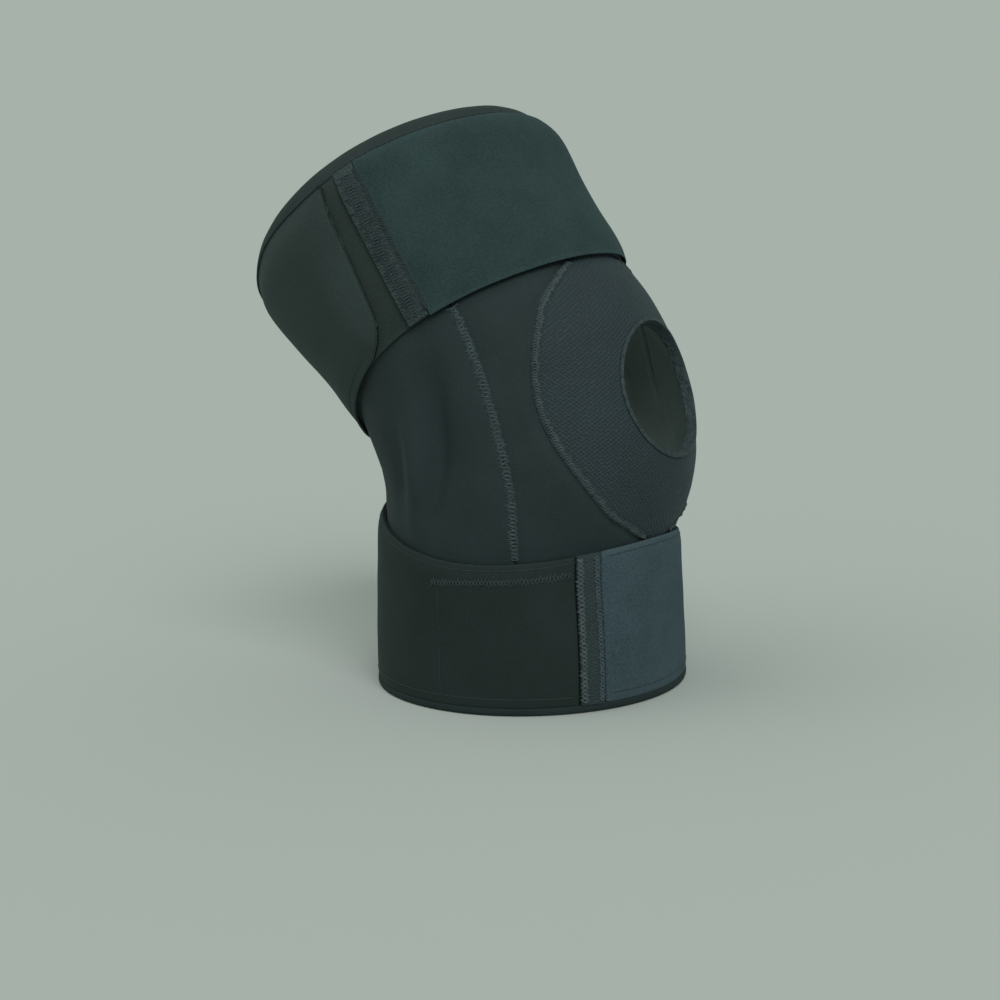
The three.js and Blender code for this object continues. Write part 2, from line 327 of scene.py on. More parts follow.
def insideLoopPanel(turn, along):
    toEdge = np.radians(thighTurnAt("loop", thighShare(turn, along)) - turn) * thighRadius
    return np.minimum(insideThighBand(turn, along), np.where(turn > 0, toEdge, 1))


def insideFlap(turn, along):
    share = thighShare(turn, along)
    corner = flapCorner["radius"]
    below = np.clip(corner - share * flapCorner["flapHeight"], 0, corner)
    cut = corner - np.sqrt(corner**2 - below**2)
    toEdge = np.radians(turn - thighTurnAt("flap", share)) * thighRadius - cut
    return np.minimum(insideThighBand(turn, along), np.where(turn > 0, toEdge, 1))


def insideCalfWrap(turn, along):
    return calfTopAt(turn) - along


def insideSleeve(turn, along):
    outside = np.hypot(turn / opening["halfTurn"], (along - kneeMiddle) / opening["halfAlong"]) - 1
    return np.where(np.abs(turn) < opening["nearTurn"], outside * opening["radius"], 1)


insides = {
    "thighBand": insideThighBand, "loopPanel": insideLoopPanel, "flap": insideFlap,
    "calfWrap": insideCalfWrap, "sleeve": insideSleeve,
}


def select(piece):
    bpy.ops.object.select_all(action="DESELECT")
    piece.select_set(True)
    bpy.context.view_layer.objects.active = piece


def addModifier(piece, kind, **values):
    modifier = piece.modifiers.new(kind.lower(), kind)
    for name, value in values.items():
        setattr(modifier, name, value)
    bpy.ops.object.modifier_apply(modifier=modifier.name)


def pointsOf(mesh):
    points = np.empty(len(mesh.vertices) * 3)
    mesh.vertices.foreach_get("co", points)
    return points.reshape(-1, 3)


def outwardAt(turn, along):
    angle = np.radians(turn)
    lean = np.clip((along - leg["calf"]) / leg["bendRadius"], 0, flex)
    return np.stack([-np.sin(angle), -np.cos(angle) * np.cos(lean), np.cos(angle) * np.sin(lean)], 1)


def upwardAt(along):
    lean = np.clip((along - leg["calf"]) / leg["bendRadius"], 0, flex)
    return np.stack([0 * lean, np.sin(lean), np.cos(lean)], 1)


finishing = {  # shared by the dressed pieces: lengths in metres, angles in degrees
    "merge": 0.00001, "flatFaces": 50, "squareFaces": 60, "sharpEdges": 40,
    "liningFacing": -0.3, "liningDepth": 0.0012,
    "hugWidth": 0.004, "wearAndEdgeHighlightWidth": 0.0016, "stillFoot": 0.010, "footLine": 0.0033,
    "rollDepth": 0.65, "rollRise": 0.0007, "leastStretch": 0.3,
}


# Which faces are on the lining's side
def inwardFaces(mesh):
    centers, normals = np.empty(len(mesh.polygons) * 3), np.empty(len(mesh.polygons) * 3)
    mesh.polygons.foreach_get("center", centers)
    mesh.polygons.foreach_get("normal", normals)
    turn, along, _, proud = legPlaces(centers.reshape(-1, 3))
    facing = (outwardAt(turn, along) * normals.reshape(-1, 3)).sum(1)
    return (facing < finishing["liningFacing"]) & (proud < -finishing["liningDepth"])


# Copies a imported solid, rounds its cut edges, smooths it and lays its folds, its edge wear with a
# painted edge highlight, and UV map
def dress(node, settings, material, lining):
    select(frame["nodes"][node])
    bpy.ops.object.duplicate()
    piece = bpy.context.object
    piece.name = piece.data.name = settings["name"]
    piece.parent = None
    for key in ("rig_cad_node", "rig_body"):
        del piece[key]
    bpy.ops.object.mode_set(mode="EDIT")
    bpy.ops.mesh.select_all(action="SELECT")
    bpy.ops.mesh.remove_doubles(threshold=finishing["merge"])
    flat, square = math.radians(finishing["flatFaces"]), math.radians(finishing["squareFaces"])
    bpy.ops.mesh.tris_convert_to_quads(face_threshold=flat, shape_threshold=square)
    bpy.ops.object.mode_set(mode="OBJECT")
    addModifier(
        piece, "BEVEL", width=settings["edge"], segments=2,
        limit_method="ANGLE", angle_limit=math.radians(finishing["sharpEdges"]),
    )
    addModifier(piece, "SUBSURF", levels=settings["levels"], render_levels=settings["levels"])
    mesh = piece.data
    points = pointsOf(mesh)
    turn, along, _, proud = legPlaces(points)
    lift = reliefAt(points, turn, along) - settings.get("sink", 0)
    if settings.get("grooved"):
        outer = np.clip(1 + proud / wallThickness, 0, 1)  # no grooves on the lining
        lift += seamGrooves(turn, along) * outer
    inside = np.ones(len(points))
    if "inside" in settings:
        inside = np.clip(insides[settings["inside"]](turn, along), 0, 1)
    if "pillow" in settings:  # the outer face rounds down towards the free edges
        lowFace, depth, reach = settings["pillow"]
        lift -= np.where(proud > lowFace, depth * np.exp(-((inside / reach) ** 2)), 0)
    lift -= settings.get("hug", 0) * np.exp(-((inside / finishing["hugWidth"]) ** 2))
    for atTurn, overEdge, spreadTurn, spreadAlong, height in settings.get("lifts", ()):
        edge = thighTopAt(turn) if overEdge < 0 else thighLowAt(turn)
        away = ((turn - atTurn) / spreadTurn) ** 2 + ((along - edge - overEdge) / spreadAlong) ** 2
        lift += height * np.exp(-away)
    lift *= np.clip(along / finishing["stillFoot"], 0, 1)  # nothing moves at the foot
    if "roll" in settings:  # the binding is round over the rim
        wall, height = settings["roll"]
        under = np.clip(1 - (rimAt(turn) - along) / height, 0, 1)
        lift += (np.sqrt(1 - finishing["rollDepth"] * under**2) - 1) * (proud + wall / 2)
        points = points + upwardAt(along) * (finishing["rollRise"] * under)[:, None]
    points = points + outwardAt(turn, along) * lift[:, None]
    for key, into, way in (
        ("stretchTop", thighTopAt(turn) - along, 1), ("stretchLow", along - thighLowAt(turn), -1),
        ("stretchFoot", along - finishing["footLine"], -1),
    ):
        if key in settings:
            reach, fade = settings[key]
            if "stretchBetween" in settings:  # less at the flap's two ends
                start, end, over = settings["stretchBetween"]
                toEnd = np.minimum(turn % 360 - start, end - turn % 360) / over
                reach = reach * np.clip(toEnd, finishing["leastStretch"], 1)
            move = way * reach * np.exp(-((into / fade) ** 2))
            inward = rimTurnIn(along + move) - rimTurnIn(along)
            points = points + upwardAt(along) * move[:, None] - outwardAt(turn, along) * inward[:, None]
    mesh.vertices.foreach_set("co", points.ravel())
    mesh.update()
    # lighter towards the free edges: partly wear, partly a painted highlight along the edges
    wearAndEdgeHighlight = mesh.attributes.new("wearAndEdgeHighlight", "FLOAT", "POINT")
    wearAndEdgeHighlightMask = np.exp(-((inside / finishing["wearAndEdgeHighlightWidth"]) ** 2))
    wearAndEdgeHighlight.data.foreach_set("value", wearAndEdgeHighlightMask.astype(np.float32))
    layClothMap(piece)
    mesh.materials.clear()
    mesh.materials.append(material)
    if settings.get("grooved"):
        # inward faces get the lining cloth, painted lighter as light inside the sleeve
        mesh.materials.append(lining)
        mesh.polygons.foreach_set("material_index", inwardFaces(mesh).astype(np.int32))
    bpy.ops.object.shade_smooth()
    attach(piece, "root")
    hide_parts(node)
    return piece


clothRadius = 0.058  # metres of cloth for a radian round the leg


# UV map in metres of cloth: round the leg and up it
def layClothMap(piece):
    mesh = piece.data
    turn, _, cloth, _ = legPlaces(pointsOf(mesh))
    corners = np.empty(len(mesh.loops), int)
    mesh.loops.foreach_get("vertex_index", corners)
    starts = np.empty(len(mesh.polygons), int)
    sizes = np.empty(len(mesh.polygons), int)
    mesh.polygons.foreach_get("loop_start", starts)
    mesh.polygons.foreach_get("loop_total", sizes)
    first = np.repeat(turn[corners][starts], sizes)
    unbroken = first + (turn[corners] - first + 180) % 360 - 180  # no face is torn apart at the back
    uv = np.stack([np.radians(unbroken) * clothRadius, cloth[corners]], 1)
    while mesh.uv_layers:
        mesh.uv_layers.remove(mesh.uv_layers[0])
    mesh.uv_layers.new(name="cloth").data.foreach_set("uv", uv.ravel().astype(np.float32))


# Shader node groups
def newGroup(name, values, outputs):
    group = bpy.data.node_groups.new(name, "ShaderNodeTree")
    group.interface.new_socket("Vector", in_out="INPUT", socket_type="NodeSocketVector")
    for socketName, value in values.items():
        socket = group.interface.new_socket(socketName, in_out="INPUT", socket_type="NodeSocketFloat")
        socket.default_value = value
    for socketName in outputs:
        group.interface.new_socket(socketName, in_out="OUTPUT", socket_type="NodeSocketFloat")
    return group, group.nodes.new("NodeGroupInput"), group.nodes.new("NodeGroupOutput")


def addNode(tree, kind, inputs=None, **values):
    node = tree.nodes.new(kind)
    for name, value in values.items():
        setattr(node, name, value)
    for name, value in (inputs or {}).items():
        if isinstance(value, bpy.types.NodeSocket):
            tree.links.new(value, node.inputs[name])
        else:
            node.inputs[name].default_value = value
    return node


def calculate(tree, operation, first, second=0.0, clamp=False):
    inputs = {0: first, 1: second}
    return addNode(tree, "ShaderNodeMath", inputs, operation=operation, use_clamp=clamp).outputs[0]


# first where share is 0, second where it is 1
def mixed(tree, first, second, share):
    node = addNode(tree, "ShaderNodeMix", {"Factor": share, 2: first, 3: second})
    return node.outputs[0]


# Fibre mottling: a fine height and a shade round 0.5 with broad patches in it
def makeFibreGrain():
    sizes = {"Fibre Size": 1600, "Patch Size": 60}
    group, start, end = newGroup("fibreGrain", sizes, ["Height", "Shade"])
    vector = start.outputs["Vector"]
    fine, broad = [
        addNode(group, "ShaderNodeTexNoise", {
            "Vector": vector, "Scale": start.outputs[size], "Detail": detail,
        }).outputs[0]
        for size, detail in zip(sizes, (2.0, 5.0))
    ]
    halves = [calculate(group, "MULTIPLY", value, 0.5) for value in (fine, broad)]
    shade = calculate(group, "ADD", *halves)
    group.links.new(fine, end.inputs["Height"])
    group.links.new(shade, end.inputs["Shade"])
    return group


# Columns of small V stitches on the cloth map
def makeJerseyKnit():
    group, start, end = newGroup("jerseyKnit", {"Columns": 1100}, ["Height"])
    split = addNode(group, "ShaderNodeSeparateXYZ", {"Vector": start.outputs["Vector"]})
    columns = start.outputs["Columns"]
    place = calculate(group, "FRACT", calculate(group, "MULTIPLY", split.outputs["X"], columns))
    across = calculate(group, "ABSOLUTE", calculate(group, "SUBTRACT", place, 0.5))
    rows = calculate(group, "MULTIPLY", calculate(group, "MULTIPLY", split.outputs["Y"], columns), 1.35)
    slanted = calculate(group, "ADD", rows, calculate(group, "MULTIPLY", across, 1.3))
    wave = calculate(group, "SINE", calculate(group, "MULTIPLY", slanted, 2 * math.pi))
    stitch = calculate(group, "MULTIPLY_ADD", wave, 0.5)
    stitch.node.inputs[2].default_value = 0.5
    furrow = calculate(group, "SUBTRACT", 1.0, calculate(group, "MULTIPLY", across, 1.2), clamp=True)
    group.links.new(calculate(group, "MULTIPLY", stitch, furrow), end.inputs["Height"])
    return group


# Net of small eyes, low in the middle of each, in rows that run aslant
def makeKnitCells():
    group, start, end = newGroup("knitCells", {"Cells": 750, "Jitter": 0.35}, ["Height"])
    turned = addNode(group, "ShaderNodeMapping", {
        "Vector": start.outputs["Vector"], "Rotation": (0, 0, math.radians(38)), "Scale": (1, 1.2, 1),
    })
    cells = addNode(group, "ShaderNodeTexVoronoi", {
        "Vector": turned.outputs[0],
        "Scale": start.outputs["Cells"],
        "Randomness": start.outputs["Jitter"],
    }, voronoi_dimensions="2D", feature="F1")
    height = calculate(group, "MULTIPLY", cells.outputs["Distance"], 1.6, clamp=True)
    group.links.new(height, end.inputs["Height"])
    return group


groups = {"fibre": makeFibreGrain(), "jersey": makeJerseyKnit(), "cells": makeKnitCells()}


# Two close colours mixed by grain, knit and edge wear that is partly a painted edge highlight, with
# fibre and knit bump
def clothMaterial(name, look):
    material = bpy.data.materials.new(name)
    material.use_nodes = True
    tree = material.node_tree
    shader = tree.nodes["Principled BSDF"]
    sheenTint = (*[min(1, value * 6) for value in look["light"]], 1)
    for socket, value in (
        ("Specular IOR Level", look["gloss"]), ("Sheen Weight", look["sheen"]),
        ("Sheen Roughness", look["sheenRoughness"]), ("Sheen Tint", sheenTint),
    ):
        shader.inputs[socket].default_value = value
    cloth = addNode(tree, "ShaderNodeUVMap", uv_map="cloth").outputs["UV"]
    place = addNode(tree, "ShaderNodeTexCoord").outputs["Object"]
    grain = addNode(tree, "ShaderNodeGroup", node_tree=groups["fibre"])
    tree.links.new(place, grain.inputs["Vector"])
    grain.inputs["Fibre Size"].default_value = look["fibre"]
    grain.inputs["Patch Size"].default_value = look["patches"]
    shade, height = grain.outputs["Shade"], grain.outputs["Height"]
    for kind, size in (("jersey", "Columns"), ("cells", "Cells")):
        if kind in look:
            knit = addNode(tree, "ShaderNodeGroup", node_tree=groups[kind])
            tree.links.new(cloth, knit.inputs["Vector"])
            knit.inputs[size].default_value = look[kind][0]
            if kind == "cells":
                knit.inputs["Jitter"].default_value = look["jitter"]
            height = mixed(tree, height, knit.outputs["Height"], look[kind][1])
            shade = mixed(tree, shade, knit.outputs["Height"], look[kind][2])
    # lighter at the free edges: partly wear, partly a painted edge highlight
    wearAndEdgeHighlight = addNode(tree, "ShaderNodeAttribute", attribute_name="wearAndEdgeHighlight").outputs["Fac"]
    fibreWearAndEdgeHighlight = calculate(tree, "MULTIPLY", wearAndEdgeHighlight, grain.outputs["Height"])
    shade = calculate(tree, "ADD", shade, calculate(tree, "MULTIPLY", fibreWearAndEdgeHighlight, look["wearAndEdgeHighlight"]))
    ramp = addNode(tree, "ShaderNodeValToRGB", {"Fac": shade})
    for element, position, colour in zip(
        ramp.color_ramp.elements, look["range"], (look["dark"], look["light"])
    ):
        element.position = position
        element.color = (*[value * look["tone"] for value in colour], 1)
    tree.links.new(ramp.outputs["Color"], shader.inputs["Base Color"])
    roughness = mixed(tree, look["roughness"] - 0.06, look["roughness"] + 0.06, shade)
    tree.links.new(roughness, shader.inputs["Roughness"])
    bump = addNode(tree, "ShaderNodeBump", {
        "Strength": look["bump"], "Distance": look["bumpHeight"], "Height": height,
    })
    tree.links.new(bump.outputs["Normal"], shader.inputs["Normal"])
    return material


# Looks, each with what it changes of the usual ones
# wear: how much lighter the cloth is at its free edges, partly wear and partly a painted edge highlight
usualCloth = {
    "range": (0.3, 0.7), "tone": 1, "roughness": 0.8, "gloss": 0.25, "sheen": 0.12,
    "sheenRoughness": 0.5, "wearAndEdgeHighlight": 0, "fibre": 1500, "patches": 60, "bump": 0.5,
    "bumpHeight": 0.0003,
}
usualThread = {
    **usualCloth, "roughness": 0.6, "gloss": 0.4, "sheen": 0.2, "sheenRoughness": 0.4,
    "fibre": 2500, "patches": 260, "bump": 0.3, "bumpHeight": 0.0001,
}
looks = {  # jersey and cells: how many in a metre, share of the bump, share of the colour
    "sleeveCloth": {
        **usualCloth, "dark": (0.011, 0.020, 0.0205), "light": (0.022, 0.0355, 0.037),
        "range": (0.3, 0.72), "roughness": 0.82, "wearAndEdgeHighlight": 0.3, "patches": 55, "bump": 0.55,
        "jersey": (1050, 0.5, 0.25),
    },
    # lining painted several times lighter than the sleeve cloth: painted light inside the sleeve, where
    # little light reaches
    "liningCloth": {
        **usualCloth, "dark": (0.075, 0.105, 0.095), "light": (0.13, 0.175, 0.16), "tone": 1.2,
        "roughness": 0.9, "gloss": 0.2, "sheen": 0.2, "fibre": 1300, "bump": 0.4,
        "jersey": (900, 0.5, 0.2),
    },
    "seamBand": {
        **usualCloth, "dark": (0.012, 0.021, 0.022), "light": (0.027, 0.043, 0.046), "fibre": 1700,
        "patches": 240, "bump": 0.9, "bumpHeight": 0.0005, "cells": (1100, 0.6, 0.4), "jitter": 0.9,
    },
    "patchKnit": {
        **usualCloth, "dark": (0.0095, 0.0175, 0.0200), "light": (0.030, 0.049, 0.0575),
        "range": (0.2, 0.85), "tone": 0.86, "roughness": 0.75, "gloss": 0.3, "sheenRoughness": 0.4,
        "wearAndEdgeHighlight": 0.35, "fibre": 2200, "patches": 70, "bump": 0.8, "bumpHeight": 0.0005,
        "cells": (780, 0.75, 0.4), "jitter": 0.35,
    },
    "rimKnit": {
        **usualCloth, "dark": (0.014, 0.024, 0.0255), "light": (0.036, 0.056, 0.059),
        "range": (0.38, 0.62), "roughness": 0.75, "gloss": 0.3, "sheenRoughness": 0.4, "fibre": 900,
        "patches": 500, "bump": 0.9, "bumpHeight": 0.0005,
    },
    "groundCloth": {
        **usualCloth, "dark": (0.011, 0.019, 0.0165), "light": (0.025, 0.039, 0.034),
        "range": (0.3, 0.72), "sheen": 0.1, "wearAndEdgeHighlight": 0.3, "patches": 45, "jersey": (950, 0.5, 0.25),
    },
    "border": {
        **usualCloth, "dark": (0.013, 0.022, 0.0215), "light": (0.028, 0.044, 0.044), "tone": 1.15,
        "wearAndEdgeHighlight": 0.2, "fibre": 1300, "patches": 150, "bump": 0.9, "bumpHeight": 0.0006,
        "cells": (900, 0.5, 0.3), "jitter": 0.9,
    },
    "wrapCloth": {
        **usualCloth, "dark": (0.0075, 0.0145, 0.0135), "light": (0.0165, 0.0285, 0.0265),
        "range": (0.3, 0.72), "tone": 0.84, "sheen": 0.1, "wearAndEdgeHighlight": 0.3, "patches": 45,
        "jersey": (950, 0.5, 0.25),
    },
    "flapCloth": {
        **usualCloth, "dark": (0.015, 0.0255, 0.0240), "light": (0.029, 0.046, 0.0435),
        "range": (0.3, 0.72), "roughness": 0.82, "wearAndEdgeHighlight": 0.35, "patches": 40,
        "jersey": (1000, 0.5, 0.22),
    },
    "loopCloth": {
        **usualCloth, "dark": (0.0165, 0.031, 0.0315), "light": (0.030, 0.053, 0.0535),
        "roughness": 0.95, "gloss": 0.1, "sheen": 0.1, "sheenRoughness": 0.6, "wearAndEdgeHighlight": 0.35,
        "fibre": 1150, "patches": 50, "bump": 0.7, "bumpHeight": 0.0005,
    },
    "calfLoopCloth": {
        **usualCloth, "dark": (0.022, 0.036, 0.043), "light": (0.046, 0.070, 0.081), "tone": 1.15,
        "roughness": 0.95, "gloss": 0.1, "sheen": 0.06, "sheenRoughness": 0.6, "wearAndEdgeHighlight": 0.35,
        "fibre": 1100, "bump": 0.7, "bumpHeight": 0.0005, "cells": (1050, 0.3, 0.2), "jitter": 0.4,
    },
    "edging": {
        **usualCloth, "dark": (0.013, 0.0225, 0.0215), "light": (0.024, 0.038, 0.0365),
        "gloss": 0.2, "sheen": 0.06, "fibre": 1800, "patches": 80, "jersey": (1400, 0.4, 0.2),
    },
    "footEdging": {
        **usualCloth, "dark": (0.0075, 0.0145, 0.0135), "light": (0.017, 0.029, 0.0285),
        "range": (0.3, 0.72), "gloss": 0.2, "sheen": 0.06, "fibre": 1800,
    },
    "tape": {
        **usualCloth, "dark": (0.0125, 0.0225, 0.0245), "light": (0.028, 0.045, 0.048),
        "tone": 0.85, "roughness": 0.75, "gloss": 0.3, "wearAndEdgeHighlight": 0.2, "fibre": 1300, "patches": 110,
        "bump": 0.8, "bumpHeight": 0.0005, "cells": (1200, 0.6, 0.35), "jitter": 0.7,
    },
    "thread": {
        **usualThread, "dark": (0.022, 0.036, 0.038), "light": (0.056, 0.082, 0.086), "tone": 0.9,
    },
    "lightThread": {
        **usualThread, "dark": (0.030, 0.047, 0.049), "light": (0.082, 0.112, 0.115), "tone": 0.75,
    },
    "blueThread": {**usualThread, "dark": (0.019, 0.034, 0.043), "light": (0.046, 0.072, 0.090)},
    "midThread": {
        **usualThread, "dark": (0.013, 0.023, 0.025), "light": (0.036, 0.053, 0.057),
        "roughness": 0.65, "gloss": 0.3, "patches": 300,
    },
    "hemThread": {
        **usualThread, "dark": (0.012, 0.021, 0.0225), "light": (0.030, 0.045, 0.048),
        "roughness": 0.65, "gloss": 0.3, "patches": 300,
    },
    "darkThread": {
        **usualThread, "dark": (0.010, 0.018, 0.019), "light": (0.026, 0.040, 0.042),
        "roughness": 0.65, "gloss": 0.3, "patches": 300,
    },
}
materials = {name: clothMaterial(name, look) for name, look in looks.items()}
print("materials made")

# Dressed pieces. edge rounds a cut edge, pillow is the lowest height of the outer face, depth and reach
dressing = {
    "front_panel": {
        "name": "frontPanelCloth", "slot": "sleeve_cloth", "look": "sleeveCloth", "edge": 0.0006,
        "levels": 2, "grooved": True,
    },
    "back_panel": {
        "name": "backPanelCloth", "slot": "sleeve_cloth", "look": "sleeveCloth", "edge": 0.0006,
        "levels": 2, "grooved": True,
    },
    "knee_patch": {
        "name": "kneePatchKnit", "slot": "patch_knit", "look": "patchKnit", "edge": 0.0005,
        "levels": 2, "grooved": True, "inside": "sleeve",
    },
    "knee_edging": {
        "name": "kneeEdging", "slot": "edging", "look": "rimKnit", "edge": 0.0002, "levels": 2,
        "sink": 0.0005,
    },
    "top_edging": {
        "name": "topEdging", "slot": "edging", "look": "edging", "edge": 0.0003, "levels": 2,
        "roll": (0.0036, 0.0033),
    },
    "bottom_edging": {
        "name": "bottomEdging", "slot": "edging", "look": "footEdging", "edge": 0.0006, "levels": 2,
    },
    "calf_wrap": {
        "name": "calfWrapCloth", "slot": "wrap_cloth", "look": "wrapCloth", "edge": 0.0009,
        "levels": 2, "inside": "calfWrap", "pillow": (0.0018, 0.0006, 0.003), "hug": 0.0004,
        "stretchFoot": (0.0006, 0.003),
    },
    "calf_seam_tape": {
        "name": "calfSeamTape", "slot": "tape", "look": "tape", "edge": 0.0006, "levels": 3,
        "inside": "calfWrap", "pillow": (0.0018, 0.0006, 0.003), "hug": 0.0004,
        "stretchFoot": (0.0006, 0.003),
    },
    "calf_loop_panel": {
        "name": "calfLoopPanel", "slot": "loop_cloth", "look": "calfLoopCloth", "edge": 0.0009,
        "levels": 2, "inside": "calfWrap", "pillow": (0.0018, 0.0006, 0.003), "hug": 0.0004,
        "stretchFoot": (0.0006, 0.003),
    },
    "thigh_wrap": {
        "name": "thighWrapCloth", "slot": "wrap_cloth", "look": "groundCloth", "edge": 0.0004,
        "levels": 2, "inside": "thighBand", "hug": 0.0004, "stretchTop": (0.0015, 0.006),
    },
    "thigh_loop_panel": {
        "name": "thighLoopPanel", "slot": "loop_cloth", "look": "loopCloth", "edge": 0.0004,
        "levels": 2, "inside": "loopPanel", "pillow": (0.0030, 0.0005, 0.0025), "hug": 0.0004,
        "lifts": [(60, -0.001, 7, 0.006, 0.0009), (18, 0.001, 14, 0.005, 0.0005)],
        "stretchTop": (0.0015, 0.006), "stretchLow": (0.0013, 0.006),
    },
    "thigh_border": {
        "name": "thighBorder", "slot": "tape", "look": "border", "edge": 0.0003, "levels": 3,
        "inside": "thighBand", "hug": 0.0004, "sink": 0.0001, "stretchTop": (0.0015, 0.006),
        "stretchLow": (0.0006, 0.006),
    },
    "thigh_flap": {
        "name": "thighFlap", "slot": "wrap_cloth", "look": "flapCloth", "edge": 0.0006, "levels": 2,
        "inside": "flap", "pillow": (0.0034, 0.0015, 0.0060), "hug": 0.0005,
        "lifts": [(93, 0.020, 6, 0.015, 0.0011)], "stretchTop": (0.0045, 0.014),
        "stretchBetween": (77, 260, 40), "stretchLow": (0.0009, 0.006),
    },
}
dressed = {
    node: dress(node, settings, materials[settings["look"]], materials["liningCloth"])
    for node, settings in dressing.items()
}
print("cloth pieces dressed:", len(dressed))


# Seams and stitches: first a search tree over the dressed pieces
def makeTarget():
    vertices, faces = [], []
    for piece in dressed.values():
        first = len(vertices)
        vertices += [vertex.co.copy() for vertex in piece.data.vertices]
        faces += [[first + index for index in polygon.vertices] for polygon in piece.data.polygons]
    return BVHTree.FromPolygons(vertices, faces)


clothTree = makeTarget()
rays = {  # start and end, in metres over the sleeve, and the least facing of a hit
    "fromOutside": (0.014, -0.003), "fromWithin": (-0.012, -0.001), "leastFacing": 0.4,
}


# Place and normal on the cloth, seen from outside or from within, as the mean of two rays
def onCloth(turn, along, within, wide):
    hits = []
    reach = rays["fromWithin"] if within else rays["fromOutside"]
    for beside in (-wide, wide):
        start, end = [legPoint(turn + beside, along, proud) for proud in reach]
        ray = (end - start).normalized()
        place, normal, _, _ = clothTree.ray_cast(start, ray, (end - start).length)
        if place is not None:
            hits.append((place, normal, -ray))
    if len(hits) < 2:
        return None
    return [(first + second) / 2 for first, second in zip(*hits)]


# Running mean along a list of vectors
def smoothed(values, reach):
    count = len(values)
    return [
        sum((values[i] for i in range(max(0, k - reach), min(count, k + reach + 1))), Vector())
        / (min(count, k + reach + 1) - max(0, k - reach))
        for k in range(count)
    ]


# Evenly spaced places along the path, each with its normal and its sideways direction
def followCloth(path, step, wide=0.4, within=False):
    found = [hit for hit in (onCloth(turn, along, within, wide) for turn, along in path) if hit]
    found = [hit for hit in found if hit[1].dot(hit[2]) > rays["leastFacing"]]
    places = smoothed([hit[0] for hit in found], 2)
    normals = [normal.normalized() for normal in smoothed([hit[1] for hit in found], 4)]
    lengths = [0.0]
    for before, after in zip(places, places[1:]):
        lengths.append(lengths[-1] + (after - before).length)
    count = max(4, round(lengths[-1] / step))
    samples, index = [], 0
    for number in range(count + 1):
        target = lengths[-1] * number / count
        while index < len(lengths) - 2 and lengths[index + 1] < target:
            index += 1
        share = (target - lengths[index]) / max(lengths[index + 1] - lengths[index], 1e-9)
        normal = normals[index].lerp(normals[index + 1], share).normalized()
        heading = (places[index + 1] - places[index]).normalized()
        place = places[index].lerp(places[index + 1], share)
        samples.append((place, normal, normal.cross(heading).normalized()))
    return samples


def finishTrim(piece, look):
    layClothMap(piece)
    piece.data.materials.clear()
    piece.data.materials.append(materials[look])
    select(piece)
    bpy.ops.object.shade_smooth()
    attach(piece, "root")


# One mesh of round threads along lists of points
def addThreads(name, strands, radius, look):
    curve = bpy.data.curves.new(name, "CURVE")
    curve.dimensions = "3D"
    curve.bevel_depth = radius
    curve.bevel_resolution = 1
    curve.use_fill_caps = True
    for strand in strands:
        spline = curve.splines.new("POLY")
        spline.points.add(len(strand) - 1)
        for point, place in zip(spline.points, strand):
            point.co = (*place, 1)
            point.radius = draws.uniform(0.8, 1.15)
    piece = bpy.data.objects.new(name, curve)
    scene.collection.objects.link(piece)
    select(piece)
    bpy.ops.object.convert(target="MESH")
    finishTrim(piece, look)


bands = {
    "profile": [  # shares of the band's width and of its height
        (-0.5, -0.6), (-0.5, 0.0), (-0.3, 0.75), (0.0, 1.0), (0.3, 0.75), (0.5, 0.0), (0.5, -0.6),
    ],
    "height": 0.00024, "step": 0.0011,  # of a band under a row, in metres
    "wave": 0.35, "waveTurn": 0.9, "uneven": 0.2,
}


# Flat seam band with a low crown, closed all round
def addBand(name, samples, width, height, look):
    vertices, faces, size = [], [], len(bands["profile"])
    for place, normal, side in samples:
        wave = bands["wave"] * math.sin(len(vertices) * bands["waveTurn"])
        ripple = height * (1 + wave + draws.uniform(-bands["uneven"], bands["uneven"]))
        for across, up in bands["profile"]:
            vertices.append(place + side * (across * width) + normal * (up * ripple))
    for row in range(len(samples) - 1):
        for k in range(size):
            a, b = row * size + k, row * size + (k + 1) % size
            faces.append((a, a + size, b + size, b))
    faces.append(tuple(range(size)))
    faces.append(tuple(reversed(range(len(vertices) - size, len(vertices)))))
    mesh = bpy.data.meshes.new(name)
    mesh.from_pydata(vertices, [], faces)
    piece = bpy.data.objects.new(name, mesh)
    scene.collection.objects.link(piece)
    select(piece)
    bpy.ops.object.mode_set(mode="EDIT")
    bpy.ops.mesh.select_all(action="SELECT")
    bpy.ops.mesh.normals_make_consistent(inside=False)
    bpy.ops.object.mode_set(mode="OBJECT")
    finishTrim(piece, look)


# Thread that crosses from side to side, dips at each turn and lies now tight, now loose
def zigzag(samples, settings, phase):
    strand = []
    width, lift, jitter = settings["width"], settings["lift"], settings["jitter"]
    for index, (place, normal, side) in enumerate(samples):
        quarter = index % 4
        across = (0, 1, 0, -1)[quarter] * phase * width / 2 * (1 + draws.uniform(-jitter, jitter))
        across += draws.uniform(-jitter, jitter) * width * 0.15
        loose = 0.9 + settings["loose"] * noise.noise(place / settings["looseLength"])
        height = -lift * 0.5
        if quarter % 2 == 0:
            height = lift * loose * (1 + draws.uniform(-jitter, jitter))
        strand.append(place + side * across + normal * height)
    return strand


# Straight stitches: thread over the cloth, dipping at each hole
def straightRow(samples, lift):
    return [
        place + normal * (lift if index % 3 else -lift * 1.2)
        for index, (place, normal, _) in enumerate(samples)
    ]


